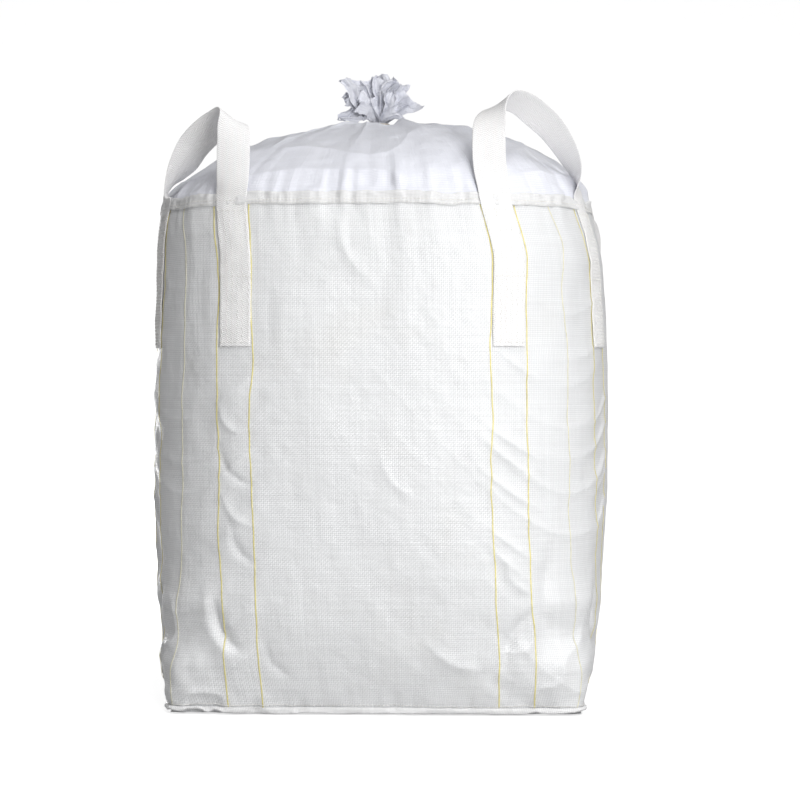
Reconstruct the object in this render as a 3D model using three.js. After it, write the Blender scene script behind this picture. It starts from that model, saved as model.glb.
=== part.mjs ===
// A bulk bag (flexible intermediate bulk container) standing full on the floor.
// A circular-woven tube is sewn to a square base panel and to a top skirt, whose mouth is gathered
// and tied. Four webbing loops bridge the corners: each is sewn down one leg on each of two faces.
// Millimetres, +Z up, the front face looks along -Y, and the origin is the middle of the base.
import * as THREE from "three";

// Driving dimensions.
const BASE_SIDE = 900; // flat width of one side of the bag
const RIM_HEIGHT = 1120; // where the body ends and the top skirt begins
const DOME_RISE = 195; // the filled top stands this much higher than the rim
const CLOTH = 2; // wall of the woven pieces, thicker than the real 0.5 mm cloth
const WEB_WIDTH = 70; // lifting webbing
const WEB_THICK = 3;
const LEG_SEWN = 326; // length of each sewn leg, down from the rim
const LEG_CENTRE = 294; // middle of a leg, from the middle of its face
const AROUND = 48; // steps round the bag: a multiple of 8, so that a corner gets a vertex

// Clearances between pieces that touch on the real bag.
const CLOTH_GAP = 0.8;
const LEG_STANDOFF = 3.2;
const YARN_STANDOFF = 0.8;
const END_GAP = 1; // between the ends of pieces that follow one another

// Height, half width and squareness of the filled body. Squareness is the exponent of a
// superellipse: 2 is a circle, and a high number is a square.
const BODY_SECTIONS = [
  [0, BASE_SIDE / 2 - 6, 30],
  [40, 459, 16],
  [110, 480, 7.5],
  [250, 503, 4.2],
  [430, 513, 3.4],
  [700, 515, 3.2],
  [900, 513, 3.1],
  [1050, 505, 3.05],
  [RIM_HEIGHT, 493, 3],
];
const RIM_HALF = BODY_SECTIONS.at(-1)[1];
const RIM_SQUARENESS = BODY_SECTIONS.at(-1)[2];

// Seams.
const HEM_LEVELS = [RIM_HEIGHT - 24, RIM_HEIGHT - 2];
const HEM_THICK = 1.6;
const BASE_SEAM_LEVELS = [0, 12]; // the seam's two edges turn out as a fin that rests on the floor
const BASE_SEAM_THICK = 6;
const PANEL_INSET = 12; // from the bag's nominal side to the flat base inside the seam
const PANEL_THICK = 3;
const CORNER_CUT = 34;

// The tied mouth.
const NECK_RADIUS = 22; // inside of the tie
const NECK_DIP = 16; // the top sinks this much round the neck
const DIP_RADIUS = 70;
const TIE_CORD = 6; // diameter of the tie
const TIE_TURNS = 3;
const TIE_BOTTOM = 1310;
const TIE_MIDDLE = TIE_BOTTOM + (TIE_CORD * TIE_TURNS) / 2;
const TUFT_TOP = 1448;

// Colours.
const CLOTH_WHITE = { color: 0xe9eaec, roughness: 0.5, metalness: 0 };
const SKIRT_WHITE = { color: 0xe2e4ec, roughness: 0.45, metalness: 0 };
const WEB_WHITE = { color: 0xf0eeea, roughness: 0.7, metalness: 0 };
const MARKER_YELLOW = { color: 0xd9c44a, roughness: 0.6, metalness: 0 };
const GRANULES = { color: 0xd8d4c8, roughness: 0.9, metalness: 0 };
const TIE_WHITE = { color: 0xdedbd2, roughness: 0.7, metalness: 0 };

const bag = new THREE.Group();

function addPiece(name, geometry, look) {
  const mesh = new THREE.Mesh(geometry, new THREE.MeshStandardMaterial(look));
  mesh.name = name;
  bag.add(mesh);
  return mesh;
}

// ---- Tables and closed meshes -------------------------------------------------------------

// Catmull-Rom reading of one column of a table sorted by its first column.
function readTable(table, at, column) {
  const last = table.length - 1;
  let i = 0;
  while (i < last - 1 && at > table[i + 1][0]) i += 1;
  const [x0, x1] = [table[i][0], table[i + 1][0]];
  const slope = (k) => {
    const [a, b] = [table[Math.max(k - 1, 0)], table[Math.min(k + 1, last)]];
    return (b[column] - a[column]) / (b[0] - a[0]);
  };
  const t = THREE.MathUtils.clamp((at - x0) / (x1 - x0), 0, 1);
  const span = x1 - x0;
  const [y0, y1] = [table[i][column], table[i + 1][column]];
  const [m0, m1] = [slope(i) * span, slope(i + 1) * span];
  return (
    y0 * (2 * t ** 3 - 3 * t ** 2 + 1) +
    m0 * (t ** 3 - 2 * t ** 2 + t) +
    y1 * (3 * t ** 2 - 2 * t ** 3) +
    m1 * (t ** 3 - t ** 2)
  );
}

// A geometry from points and from faces of three or four corners, anticlockwise from outside.
// A quad is cut along its shorter diagonal, so that nested skins are cut alike.
function polygonMesh(points, faces) {
  const index = faces.flatMap(([a, b, c, d]) => {
    if (d === undefined) return [a, b, c];
    const alongFirst = points[a].distanceTo(points[c]) <= points[b].distanceTo(points[d]);
    return alongFirst ? [a, b, c, a, c, d] : [a, b, d, b, c, d];
  });
  const geometry = new THREE.BufferGeometry();
  const flat = points.flatMap((p) => [p.x, p.y, p.z]);
  geometry.setAttribute("position", new THREE.Float32BufferAttribute(flat, 3));
  geometry.setIndex(index);
  geometry.computeVertexNormals();
  return geometry;
}

// Joins closed rings of equal length into a skin. A torus joins the last ring to the first;
// otherwise the first and last rings are closed with a fan about their middle.
function skinRings(rings, torus = false) {
  const count = rings[0].length;
  const points = rings.flat();
  const faces = [];
  const steps = torus ? rings.length : rings.length - 1;
  for (let r = 0; r < steps; r += 1) {
    const next = (r + 1) % rings.length;
    for (let k = 0; k < count; k += 1) {
      const l = (k + 1) % count;
      faces.push([r * count + k, r * count + l, next * count + l, next * count + k]);
    }
  }
  if (!torus) {
    const caps = [
      [0, 1],
      [rings.length - 1, 0],
    ];
    for (const [r, flip] of caps) {
      const middle = points.length;
      const centre = new THREE.Vector3();
      rings[r].forEach((p) => centre.addScaledVector(p, 1 / count));
      points.push(centre);
      for (let k = 0; k < count; k += 1) {
        const [a, b] = [r * count + k, r * count + ((k + 1) % count)];
        faces.push(flip ? [b, a, middle] : [a, b, middle]);
      }
    }
  }
  return polygonMesh(points, faces);
}

// ---- The shape of the filled bag ----------------------------------------------------------

// Distance from the axis of a superellipse at a polar angle.
function squareRadius(angle, half, squareness) {
  const c = Math.abs(Math.cos(angle)) ** squareness;
  const s = Math.abs(Math.sin(angle)) ** squareness;
  return half / (c + s) ** (1 / squareness);
}

function sectionRing(height, half, squareness) {
  return Array.from({ length: AROUND }, (_, k) => {
    const angle = (k / AROUND) * 2 * Math.PI;
    const r = squareRadius(angle, half, squareness);
    return new THREE.Vector3(r * Math.cos(angle), r * Math.sin(angle), height);
  });
}

const bodyHalf = (z) => readTable(BODY_SECTIONS, z, 1);
const bodySquareness = (z) => readTable(BODY_SECTIONS, z, 2);

const bodyRing = (z, inset) => sectionRing(z, bodyHalf(z) - inset, bodySquareness(z));

// The dome's height at a share of the way from the axis (0) to the rim (1). Its shoulder is
// softer on the left, where the top is less full.
function domeHeight(share, angle) {
  const soft = ((1 - Math.cos(angle)) / 2) ** 2;
  const crown = DOME_RISE * (1 - share ** (2.6 - 0.6 * soft)) ** (0.62 + 0.1 * soft);
  const dip = NECK_DIP * Math.exp(-((share * RIM_HALF) ** 2) / DIP_RADIUS ** 2);
  return RIM_HEIGHT + crown - dip;
}

function domeRing(share, inset, drop) {
  const squareness = 2 + (RIM_SQUARENESS - 2) * share ** 1.5;
  const ring = sectionRing(RIM_HEIGHT, share * RIM_HALF - inset, squareness);
  ring.forEach((p) => p.setZ(domeHeight(share, Math.atan2(p.y, p.x)) - drop));
  return ring;
}

// The outside of the body at a distance across a face: how far out the cloth is there.
function faceDepth(across, z, standoff) {
  const n = bodySquareness(z);
  return ((bodyHalf(z) + standoff) ** n - Math.abs(across) ** n) ** (1 / n);
}

// ---- Cloth pieces and their load ----------------------------------------------------------

const BODY_TOP = RIM_HEIGHT - END_GAP;
const BODY_LEVELS = [4, 20, 50, 110, 190, 300, 450, 650, 850, 1010, BODY_TOP];
const DOME_SHARES = [1, 0.98, 0.93, 0.84, 0.7, 0.52, 0.32, 0.16, 0.08, 0.05];

function makeBodyTube() {
  const outside = BODY_LEVELS.map((z) => bodyRing(z, 0));
  const inside = BODY_LEVELS.map((z) => bodyRing(z, CLOTH)).reverse();
  return skinRings([...outside, ...inside], true);
}

function makeTopSkirt() {
  const outside = DOME_SHARES.map((share) => domeRing(share, 0, 0));
  const inside = DOME_SHARES.map((share) => domeRing(share, CLOTH, CLOTH)).reverse();
  outside[0].forEach((p) => p.setZ(RIM_HEIGHT));
  inside.at(-1).forEach((p) => p.setZ(RIM_HEIGHT));
  return skinRings([...outside, ...inside], true);
}

function makeContents() {
  const inset = CLOTH + CLOTH_GAP;
  const sides = BODY_LEVELS.map((z) => bodyRing(z, inset));
  const top = DOME_SHARES.map((share) => domeRing(share, inset, inset));
  top[0].forEach((p) => p.setZ(RIM_HEIGHT));
  return skinRings([...sides, ...top]);
}

// A band round the body between two heights, standing off the cloth.
function makeBand(levels, standoff, thick) {
  const outside = levels.map((z) => bodyRing(z, -(standoff + thick)));
  const inside = levels.map((z) => bodyRing(z, -standoff)).reverse();
  return skinRings([...outside, ...inside], true);
}

// The base is a flat square with its corners cut off, lying inside the seam.
function makeBasePanel() {
  const half = BASE_SIDE / 2 - PANEL_INSET;
  const cut = half - CORNER_CUT;
  const outline = new THREE.Shape([
    new THREE.Vector2(half, -cut),
    new THREE.Vector2(half, cut),
    new THREE.Vector2(cut, half),
    new THREE.Vector2(-cut, half),
    new THREE.Vector2(-half, cut),
    new THREE.Vector2(-half, -cut),
    new THREE.Vector2(-cut, -half),
    new THREE.Vector2(cut, -half),
  ]);
  return new THREE.ExtrudeGeometry(outline, { depth: PANEL_THICK, bevelEnabled: false });
}

// ---- Strips sewn or woven down a face -----------------------------------------------------

// Turns a point of the front face to face 0 front, 1 right, 2 back or 3 left.
function ontoFace(point, face) {
  return point.applyAxisAngle(new THREE.Vector3(0, 0, 1), (face * Math.PI) / 2);
}

// A strip down a face. centre gives its middle across the face at each height.
function makeStrip(face, centre, width, levels, standoff, thick, columns) {
  const rings = levels.map((z) => {
    const across = Array.from(
      { length: columns + 1 },
      (_, k) => centre(z) + width * (k / columns - 0.5),
    );
    const at = (x, off) => ontoFace(new THREE.Vector3(x, -faceDepth(x, z, off), z), face);
    const outside = across.map((x) => at(x, standoff + thick));
    const inside = across.map((x) => at(x, standoff)).reverse();
    return [...outside, ...inside];
  });
  return skinRings(rings);
}

function levelsBetween(low, high, steps) {
  return Array.from({ length: steps + 1 }, (_, k) => low + ((high - low) * k) / steps);
}

const LEG_ACROSS = WEB_WIDTH * 0.95; // the face curves, so a leg is narrower across it
const LEG_STEPS = 6;
const LEG_COLUMNS = 3;

// The filling draws the top of the front face's right leg and its yarns towards the middle.
const PULL = 24;
const PULL_FROM = 1010;

function pulled(face, side, z) {
  const share = Math.max(0, z - PULL_FROM) / (RIM_HEIGHT - PULL_FROM);
  return face === 0 && side > 0 ? -PULL * share : 0;
}

function makeLeg(face, side) {
  const levels = levelsBetween(BODY_TOP - LEG_SEWN, BODY_TOP, LEG_STEPS);
  const centre = (z) => side * LEG_CENTRE + pulled(face, side, z);
  return makeStrip(face, centre, LEG_ACROSS, levels, LEG_STANDOFF, WEB_THICK, LEG_COLUMNS);
}

const YARN_WIDTH = 3;
const YARN_THICK = 1;
const YARN_TOP = HEM_LEVELS[0] - END_GAP;
const YARN_BOTTOM = BASE_SEAM_LEVELS[1] + END_GAP;
const YARN_OFFSET = LEG_ACROSS / 2 + 4; // a yarn runs just clear of a leg's edge

// A yarn bends only where the body tube does, so that it stays the same distance off it.
const YARN_LEVELS = [
  YARN_BOTTOM,
  ...BODY_LEVELS.filter((z) => z > YARN_BOTTOM && z < YARN_TOP),
  YARN_TOP,
];

function makeYarn(face, side, offset) {
  const centre = (z) => side * LEG_CENTRE + offset + pulled(face, side, z);
  return makeStrip(face, centre, YARN_WIDTH, YARN_LEVELS, YARN_STANDOFF, YARN_THICK, 1);
}

// The corner yarn follows the diagonal, so its place across the face depends on the height.
function makeCornerYarn(face) {
  const centre = (z) => (bodyHalf(z) + YARN_STANDOFF) * 2 ** (-1 / bodySquareness(z));
  return makeStrip(face, centre, YARN_WIDTH, YARN_LEVELS, YARN_STANDOFF, YARN_THICK, 1);
}

// ---- Lifting loops ------------------------------------------------------------------------

// The front loops stand. Each row is a place on the band's middle line, then the way from there
// to the band's corner-side edge. The band goes up its front leg facing forwards, folds over at
// the crown, and twists as it comes down to its leg on the side face. The two rows of the crown
// are CROWN_LENGTH apart, and the band is straight and flat between them, where a hook bears.
const CROWN_LENGTH = 44;
const STANDING = {
  front_left: {
    crown: 4,
    rows: [
      [-293, -463, 1132, -0.96, 0.28, 0],
      [-291, -463, 1174, -1, 0.05, 0],
      [-290, -461, 1217, -1, -0.05, 0.05],
      [-290, -455, 1258, -0.95, -0.2, 0.2],
      [-297, -441, 1291, -0.68, -0.55, 0.5],
      [-326, -408, 1285, -0.68, -0.55, 0.5],
      [-360, -390, 1261, -0.62, -0.45, 0.66],
      [-388, -370, 1236, -0.66, -0.5, 0.56],
      [-412, -348, 1202, -0.56, -0.72, 0.4],
      [-436, -322, 1168, -0.22, -0.95, 0.12],
      [-459, -297, 1136, 0.3, -0.95, 0],
    ],
  },
  front_right: {
    crown: 5,
    rows: [
      [270, -471, 1132, 0.96, 0.28, 0],
      [262, -469, 1181, 1, 0.05, 0],
      [260, -465, 1237, 1, -0.05, 0.05],
      [262, -456, 1279, 0.95, -0.2, 0.25],
      [274, -441, 1309, 0.78, -0.5, 0.35],
      [298, -421, 1327, 0.62, -0.62, 0.5],
      [332, -393, 1323, 0.62, -0.62, 0.5],
      [363, -369, 1303, 0.6, -0.55, 0.58],
      [397, -346, 1273, 0.56, -0.62, 0.54],
      [427, -324, 1229, 0.48, -0.76, 0.42],
      [447, -307, 1186, 0.32, -0.91, 0.24],
      [461, -296, 1135, -0.3, -0.95, 0],
    ],
  },
};

// The rear loops have flopped over and hang. turn is the way a loop's corner faces, in degrees
// from +X; reach is how far it stretches from the line between its roots; and lean is how far
// the band has tipped outwards from upright, in degrees at its roots and, past the bend, lower.
const HANGING = {
  rear_right: { turn: 45, reach: 232, lean: [92, 172], bend: 68 },
  rear_left: { turn: 135, reach: 232, lean: [91, 174], bend: 70 },
};
const ROOT_GAP = 12; // a band starts this far from the line between its roots
const ROOT_WIDTH = 30; // and widens from this
const FULL_WIDTH_FROM = 56; // to its full width here
const ARCH_STEPS = 11; // steps up each side of a hanging loop
const BAND_STEPS = 2; // steps between the rows of a standing loop

const rootDepth = faceDepth(LEG_CENTRE, RIM_HEIGHT, LEG_STANDOFF + WEB_THICK / 2);
const HALF_SPAN = (rootDepth - LEG_CENTRE) / Math.SQRT2;
const HINGE_OUT = (rootDepth + LEG_CENTRE) / Math.SQRT2;

// One cross section of a band: wide points to an edge and normal out of its outer face.
// fromRoot is its distance from the nearer root.
function bandSection(middle, wide, normal, fromRoot) {
  const share = THREE.MathUtils.smoothstep(fromRoot, ROOT_GAP, FULL_WIDTH_FROM);
  const half = THREE.MathUtils.lerp(ROOT_WIDTH, WEB_WIDTH, share) / 2;
  const corners = [
    [-half, -WEB_THICK / 2],
    [half, -WEB_THICK / 2],
    [half, WEB_THICK / 2],
    [-half, WEB_THICK / 2],
  ];
  return corners.map(([w, n]) =>
    middle.clone().addScaledVector(wide, w).addScaledVector(normal, n),
  );
}

// A standing loop's middle line is a smooth curve through its rows.
function makeStandingLoop({ crown, rows }, mirror) {
  const middles = rows.map((row) => new THREE.Vector3(...row.slice(0, 3)));
  const edges = rows.map((row) => new THREE.Vector3(...row.slice(3)));
  const path = new THREE.CatmullRomCurve3(middles, false, "centripetal");
  const last = rows.length - 1;
  const crownWay = middles[crown + 1].clone().sub(middles[crown]).normalize();
  const places = [];
  for (let row = 0; row < last; row += 1) {
    const steps = row === crown ? 1 : BAND_STEPS;
    for (let k = 0; k < steps; k += 1) places.push(row + k / steps);
  }
  places.push(last);
  const walk = places.map((u) => path.getPoint(u / last));
  const lengths = [0];
  walk.slice(1).forEach((p, k) => lengths.push(lengths[k] + p.distanceTo(walk[k])));
  const rings = places.map((u, k) => {
    const row = Math.min(Math.floor(u), last - 1);
    const flat = u === crown || u === crown + 1;
    const tangent = flat ? crownWay : path.getTangent(u / last);
    const edge = edges[row].clone().lerp(edges[row + 1], u - row);
    edge.addScaledVector(tangent, -edge.dot(tangent)).normalize();
    const normal = new THREE.Vector3().crossVectors(edge, tangent).multiplyScalar(mirror);
    const fromRoot = ROOT_GAP + Math.min(lengths[k], lengths.at(-1) - lengths[k]);
    return bandSection(walk[k], edge, normal, fromRoot);
  });
  if (mirror > 0) rings.reverse();
  return skinRings(rings);
}

// How far out and up a hanging band has got at a distance from its roots, and its lean there.
function followLean(distance, { lean, bend }) {
  const steps = 40;
  const step = distance / steps;
  const leanAt = (d) =>
    THREE.MathUtils.degToRad(lean[1] + (lean[0] - lean[1]) * Math.exp(-((d / bend) ** 2)));
  let [out, up] = [0, 0];
  for (let k = 0; k < steps; k += 1) {
    const here = leanAt((k + 0.5) * step);
    out += Math.sin(here) * step;
    up += Math.cos(here) * step;
  }
  return { out, up, tip: leanAt(distance) };
}

// psi goes from 0 at one root over 90 degrees at the crown to 180 at the other root, and shift
// moves the section along the flat of the crown.
function archSection(loop, psi, shift) {
  const turn = THREE.MathUtils.degToRad(loop.turn);
  const outward = new THREE.Vector3(Math.cos(turn), Math.sin(turn), 0);
  const upward = new THREE.Vector3(0, 0, 1);
  const along = new THREE.Vector3().crossVectors(upward, outward);
  const distance = loop.reach * Math.sin(psi);
  const { out, up, tip } = followLean(distance, loop);
  const middle = new THREE.Vector3()
    .addScaledVector(along, (HALF_SPAN - CROWN_LENGTH / 2) * Math.cos(psi) + shift)
    .addScaledVector(outward, HINGE_OUT + out)
    .addScaledVector(upward, RIM_HEIGHT + up);
  const rise = upward.clone().multiplyScalar(Math.cos(tip));
  rise.addScaledVector(outward, Math.sin(tip));
  const sideways = outward.clone().multiplyScalar(Math.cos(tip));
  sideways.addScaledVector(upward, -Math.sin(tip));
  // Away from the loop's middle at the crown, and away from the face at a root.
  const radial = rise.clone().multiplyScalar(Math.sin(psi));
  radial.addScaledVector(along, Math.cos(psi));
  const twist = (Math.PI / 4) * Math.abs(Math.cos(psi)) ** 1.5;
  const normal = radial.clone().multiplyScalar(Math.cos(twist));
  normal.addScaledVector(sideways, Math.sin(twist));
  const wide = sideways.clone().multiplyScalar(Math.cos(twist));
  wide.addScaledVector(radial, -Math.sin(twist));
  return bandSection(middle, wide, normal, distance);
}

function makeHangingLoop(loop) {
  const first = Math.asin(ROOT_GAP / loop.reach);
  const side = (k) => first + ((Math.PI / 2 - first) * k) / ARCH_STEPS;
  const up = levelsBetween(0, ARCH_STEPS, ARCH_STEPS).map(side);
  const shift = CROWN_LENGTH / 2;
  const rings = up.map((psi) => archSection(loop, psi, shift));
  up.reverse().forEach((psi) => rings.push(archSection(loop, Math.PI - psi, -shift)));
  return skinRings(rings);
}

// ---- The tied mouth -----------------------------------------------------------------------

// Three turns of cord pulled tight round the gathered cloth, as one ribbed ring.
function makeTie() {
  const profile = [];
  const bead = TIE_CORD / 2;
  profile.push(new THREE.Vector2(NECK_RADIUS, TIE_BOTTOM));
  for (let turn = 0; turn < TIE_TURNS; turn += 1) {
    const middle = TIE_BOTTOM + bead + turn * TIE_CORD;
    for (const angle of [-60, -20, 20, 60]) {
      const a = THREE.MathUtils.degToRad(angle);
      const radius = NECK_RADIUS + bead * (1 + Math.cos(a));
      profile.push(new THREE.Vector2(radius, middle + bead * Math.sin(a)));
    }
  }
  profile.push(new THREE.Vector2(NECK_RADIUS, TIE_BOTTOM + TIE_CORD * TIE_TURNS));
  profile.push(profile[0].clone());
  return new THREE.LatheGeometry(profile, 20).rotateX(Math.PI / 2);
}

// Height over the tie, half width across (X) and half depth (Y) of the bunched mouth.
const TUFT_SECTIONS = [
  [TIE_BOTTOM + 2, 14, 14],
  [TIE_MIDDLE, 17, 17],
  [TIE_BOTTOM + 22, 19, 18],
  [1362, 44, 32],
  [1382, 78, 46],
  [1404, 101, 52],
  [1424, 98, 48],
  [1438, 72, 36],
  [TUFT_TOP, 34, 18],
];

function makeTuft() {
  const around = 20;
  const rings = TUFT_SECTIONS.map(([z, halfX, halfY]) =>
    Array.from({ length: around }, (_, k) => {
      const angle = (k / around) * 2 * Math.PI;
      return new THREE.Vector3(halfX * Math.cos(angle), halfY * Math.sin(angle), z);
    }),
  );
  return skinRings(rings);
}

// ---- Assembly -----------------------------------------------------------------------------

addPiece("bulk_contents", makeContents(), GRANULES);
addPiece("base_panel", makeBasePanel(), CLOTH_WHITE);
addPiece("body_tube", makeBodyTube(), CLOTH_WHITE);
addPiece("base_seam", makeBand(BASE_SEAM_LEVELS, CLOTH_GAP, BASE_SEAM_THICK), CLOTH_WHITE);
addPiece("top_skirt", makeTopSkirt(), SKIRT_WHITE);
addPiece("rim_hem", makeBand(HEM_LEVELS, CLOTH_GAP, HEM_THICK), CLOTH_WHITE);

const FACE_NAMES = ["front", "right", "rear", "left"];
FACE_NAMES.forEach((name, face) => {
  [-1, 1].forEach((side) => {
    const half = side < 0 ? "a" : "b";
    addPiece(`sewn_leg_${name}_${half}`, makeLeg(face, side), WEB_WHITE);
    [-1, 1].forEach((edge) => {
      const label = edge * side < 0 ? "inner" : "outer";
      const yarn = makeYarn(face, side, edge * YARN_OFFSET);
      addPiece(`marker_yarn_${name}_${half}_${label}`, yarn, MARKER_YELLOW);
    });
  });
  addPiece(`corner_yarn_${name}`, makeCornerYarn(face), MARKER_YELLOW);
});

addPiece("loop_front_left", makeStandingLoop(STANDING.front_left, -1), WEB_WHITE);
addPiece("loop_front_right", makeStandingLoop(STANDING.front_right, 1), WEB_WHITE);
addPiece("loop_rear_right", makeHangingLoop(HANGING.rear_right), WEB_WHITE);
addPiece("loop_rear_left", makeHangingLoop(HANGING.rear_left), WEB_WHITE);

addPiece("neck_tie", makeTie(), TIE_WHITE);
addPiece("neck_tuft", makeTuft(), SKIRT_WHITE);

export default bag;
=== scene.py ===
import math

import bpy
import numpy as np
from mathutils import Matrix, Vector


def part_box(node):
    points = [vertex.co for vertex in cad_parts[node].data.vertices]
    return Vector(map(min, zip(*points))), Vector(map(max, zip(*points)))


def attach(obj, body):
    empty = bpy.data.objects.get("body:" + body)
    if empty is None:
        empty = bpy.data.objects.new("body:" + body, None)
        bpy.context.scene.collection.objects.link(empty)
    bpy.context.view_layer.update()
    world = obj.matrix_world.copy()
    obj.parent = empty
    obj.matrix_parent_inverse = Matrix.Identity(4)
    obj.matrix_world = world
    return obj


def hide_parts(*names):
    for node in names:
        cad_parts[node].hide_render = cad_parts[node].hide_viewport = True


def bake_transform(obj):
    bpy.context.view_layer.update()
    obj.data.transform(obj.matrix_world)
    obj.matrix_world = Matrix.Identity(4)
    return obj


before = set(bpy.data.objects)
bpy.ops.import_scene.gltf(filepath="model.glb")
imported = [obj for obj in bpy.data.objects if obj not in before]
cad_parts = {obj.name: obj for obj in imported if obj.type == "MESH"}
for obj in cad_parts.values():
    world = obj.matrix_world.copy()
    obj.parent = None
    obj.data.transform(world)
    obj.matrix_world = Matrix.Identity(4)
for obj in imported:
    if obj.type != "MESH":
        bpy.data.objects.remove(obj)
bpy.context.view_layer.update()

# ---- Sizes, in metres, read from the frame or cut to the same plan as it ------------------

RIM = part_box("body_tube")[1][2] + 0.001
DOME_RISE = 0.195
LEG_CENTRE = 0.294
LEG_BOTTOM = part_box("sewn_leg_front_a")[0][2]
WEB_WIDTH = 0.070
WEB_THICK = 0.0028
YARN_OFFSET = 0.0375
TIE_LOW, TIE_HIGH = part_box("neck_tie")[0][2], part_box("neck_tie")[1][2]
NECK_RADIUS = 0.022
FLAT_PERIMETER = 3.6

# Height, half width and squareness (superellipse exponent) of the filled body.
BODY_SECTIONS = np.array([
    (0.000, 0.444, 30.0),
    (0.040, 0.459, 16.0),
    (0.110, 0.480, 7.5),
    (0.250, 0.503, 4.2),
    (0.430, 0.513, 3.4),
    (0.700, 0.515, 3.2),
    (0.900, 0.513, 3.1),
    (1.050, 0.505, 3.05),
    (1.120, 0.493, 3.0),
])
RIM_HALF = BODY_SECTIONS[-1, 1]


# ---- Noise and small maths ----------------------------------------------------------------

def lattice(ix, iy, iz, seed):
    """One repeatable value from -1 to 1 for each whole-number point."""
    n = ix * 374761393 + iy * 668265263 + iz * 1440662683 + seed * 1274126177
    n = (n ^ (n >> 13)) * 1103515245
    n = n ^ (n >> 16)
    return (n & 0xFFFF) / 32767.5 - 1.0


def noise(points, size, seed):
    """Smooth noise of about -1 to 1. size is the size of its lumps, one number or one for each axis."""
    q = points / np.asarray(size, float)
    cell = np.floor(q).astype(np.int64)
    f = q - cell
    f = f * f * f * (f * (f * 6 - 15) + 10)
    total = np.zeros(len(points))
    for dx in (0, 1):
        wx = f[:, 0] if dx else 1 - f[:, 0]
        for dy in (0, 1):
            wy = f[:, 1] if dy else 1 - f[:, 1]
            for dz in (0, 1):
                wz = f[:, 2] if dz else 1 - f[:, 2]
                total += wx * wy * wz * lattice(cell[:, 0] + dx, cell[:, 1] + dy, cell[:, 2] + dz, seed)
    return total


def creases(points, size, seed):
    """Noise with sharp ridges, as in crumpled cloth: from 0 between the ridges to 1 on them."""
    return (1 - np.abs(noise(points, size, seed))) ** 3


def smoothstep(x, low, high):
    t = np.clip((x - low) / (high - low), 0, 1)
    return t * t * (3 - 2 * t)


def unit(v):
    return v / np.maximum(np.linalg.norm(v, axis=-1, keepdims=True), 1e-12)


def cubic(x, table, column):
    """Smooth reading of one column of a table sorted by its first column."""
    xs, ys = table[:, 0], table[:, column]
    slopes = np.gradient(ys, xs)
    i = np.clip(np.searchsorted(xs, x) - 1, 0, len(xs) - 2)
    span = xs[i + 1] - xs[i]
    t = np.clip((x - xs[i]) / span, 0, 1)
    return (
        ys[i] * (2 * t**3 - 3 * t**2 + 1)
        + slopes[i] * span * (t**3 - 2 * t**2 + t)
        + ys[i + 1] * (3 * t**2 - 2 * t**3)
        + slopes[i + 1] * span * (t**3 - t**2)
    )


# ---- The filled body's surface ------------------------------------------------------------

def body_base(angle, z):
    """Plain surface points at polar angles and heights."""
    half, n = cubic(z, BODY_SECTIONS, 1), cubic(z, BODY_SECTIONS, 2)
    c, s = np.abs(np.cos(angle)), np.abs(np.sin(angle))
    r = half * (c**n + s**n) ** (-1 / n)
    return np.stack([r * np.cos(angle), r * np.sin(angle), z], -1)


def body_normal(p):
    z = np.clip(p[:, 2], 0, RIM)
    n = cubic(z, BODY_SECTIONS, 2)
    rise = (cubic(z + 0.005, BODY_SECTIONS, 1) - cubic(z - 0.005, BODY_SECTIONS, 1)) / 0.01
    x, y = np.abs(p[:, 0]), np.abs(p[:, 1])
    f = (x**n + y**n) ** (1 / n)
    gx = np.sign(p[:, 0]) * (x / f) ** (n - 1)
    gy = np.sign(p[:, 1]) * (y / f) ** (n - 1)
    return unit(np.stack([gx, gy, -rise], -1))


def face_angle(across, z, face):
    """Polar angle of a place on face 0 front, 1 right, 2 rear or 3 left, at a distance across it."""
    half, n = cubic(z, BODY_SECTIONS, 1), cubic(z, BODY_SECTIONS, 2)
    depth = (half**n - np.abs(across) ** n) ** (1 / n)
    return np.arctan2(-depth, across) + face * math.pi / 2


# Folds that the eye picks out: face, start (across, z), end (across, z), depth and width.
# A negative depth is a valley.
FOLDS = [
    (0, (-0.345, 0.235), (-0.300, 0.150), -0.013, 0.016),
    (0, (-0.360, 0.260), (-0.322, 0.140), 0.007, 0.020),
    (0, (-0.325, 0.560), (-0.265, 0.500), -0.0040, 0.010),
    (0, (-0.320, 0.470), (-0.270, 0.415), 0.0035, 0.010),
    (0, (-0.300, 0.400), (-0.262, 0.335), -0.0035, 0.010),
    (0, (-0.325, 0.660), (-0.285, 0.610), 0.0030, 0.009),
    (0, (0.285, 0.330), (0.330, 0.270), 0.0045, 0.012),
    (0, (0.330, 0.220), (0.282, 0.120), -0.0065, 0.014),
    (0, (-0.235, 0.160), (-0.190, 0.090), -0.0035, 0.012),
    (0, (0.120, 0.150), (0.220, 0.105), 0.0030, 0.013),
    (0, (0.372, 0.330), (0.392, 0.150), -0.0080, 0.020),
    (0, (-0.060, 1.060), (-0.030, 0.960), 0.0030, 0.014),
    (0, (0.020, 0.560), (0.075, 0.480), 0.0022, 0.012),
    (3, (0.345, 0.260), (0.310, 0.120), -0.0100, 0.018),
    (3, (-0.330, 0.240), (-0.290, 0.130), 0.0060, 0.016),
    (1, (-0.350, 0.250), (-0.310, 0.130), -0.0100, 0.018),
    (1, (0.320, 0.400), (0.270, 0.320), 0.0045, 0.012),
    (2, (-0.330, 0.230), (-0.285, 0.130), -0.0090, 0.017),
    (2, (0.350, 0.260), (0.305, 0.140), 0.0070, 0.018),
    (2, (0.265, 0.560), (0.325, 0.490), 0.0035, 0.010),
    (2, (-0.060, 0.180), (0.060, 0.120), 0.0030, 0.014),
]


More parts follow.
